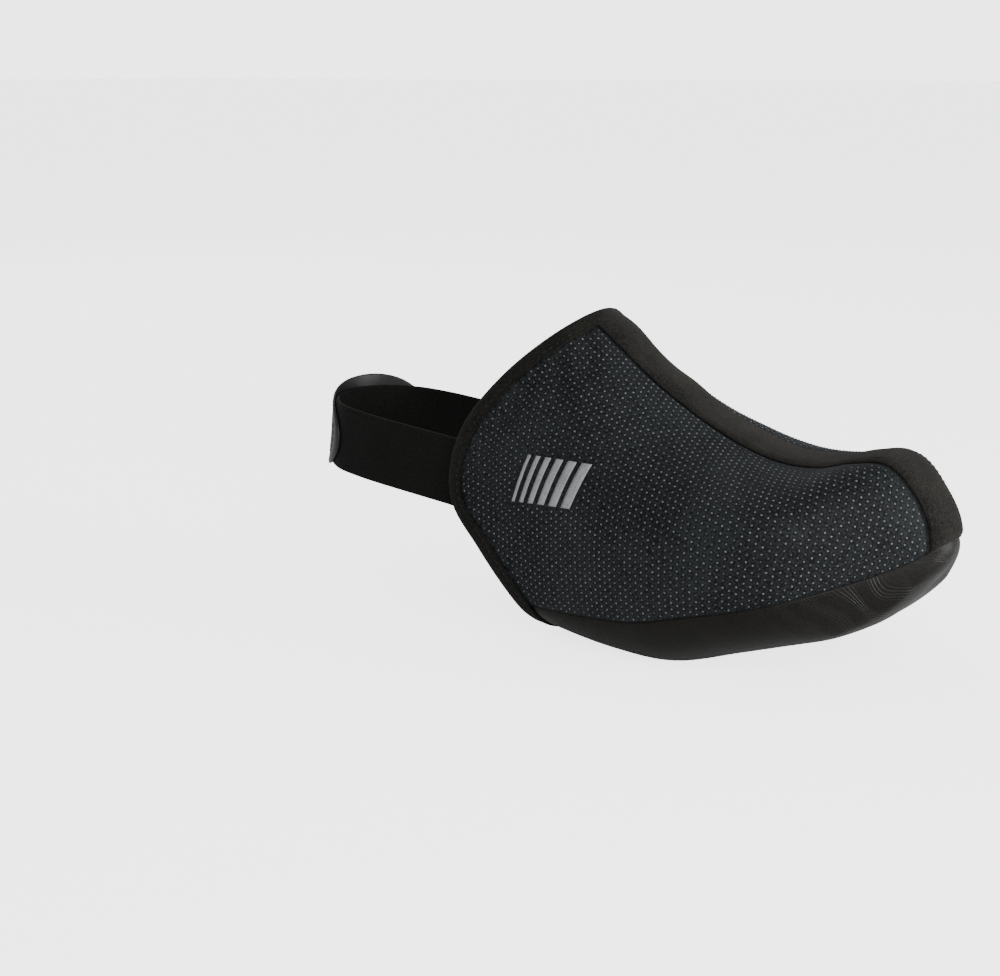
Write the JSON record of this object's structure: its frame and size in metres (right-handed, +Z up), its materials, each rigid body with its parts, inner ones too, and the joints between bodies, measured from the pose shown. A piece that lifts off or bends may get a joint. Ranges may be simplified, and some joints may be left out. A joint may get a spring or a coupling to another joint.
{
  "type": "cycling toe cover",
  "caption": "Cloth cover for the front of a right cycling shoe: hollow hood with centre strip, rubberised sole with cleat opening, bound collar and an elastic heel strap with a patch.",
  "frame": {"origin": "on the floor under the middle of the whole cover's box", "axes": "+X towards the toe, +Y towards the inner side of the foot, +Z up"},
  "size_m": [0.2884, 0.1156, 0.1296],
  "materials": {
    "laminate": "dark blue-black windproof laminate with light raised dots",
    "knit": "matte black fine knit",
    "rubberised": "charcoal coated cloth with embossed contour lines",
    "elastic": "black ribbed elastic webbing",
    "leatherette": "smooth black synthetic leather",
    "lining": "black brushed fleece inside the hood",
    "thread": "dark polyester sewing thread",
    "reflective": "silver grey reflective print"
  },
  "bodies": {
    "root": {"upper": "laminate", "sole": "rubberised", "center_strip": "knit", "collar_binding": "knit", "heel_strap": "elastic", "heel_patch": "leatherette"}
  },
  "joints": []
}
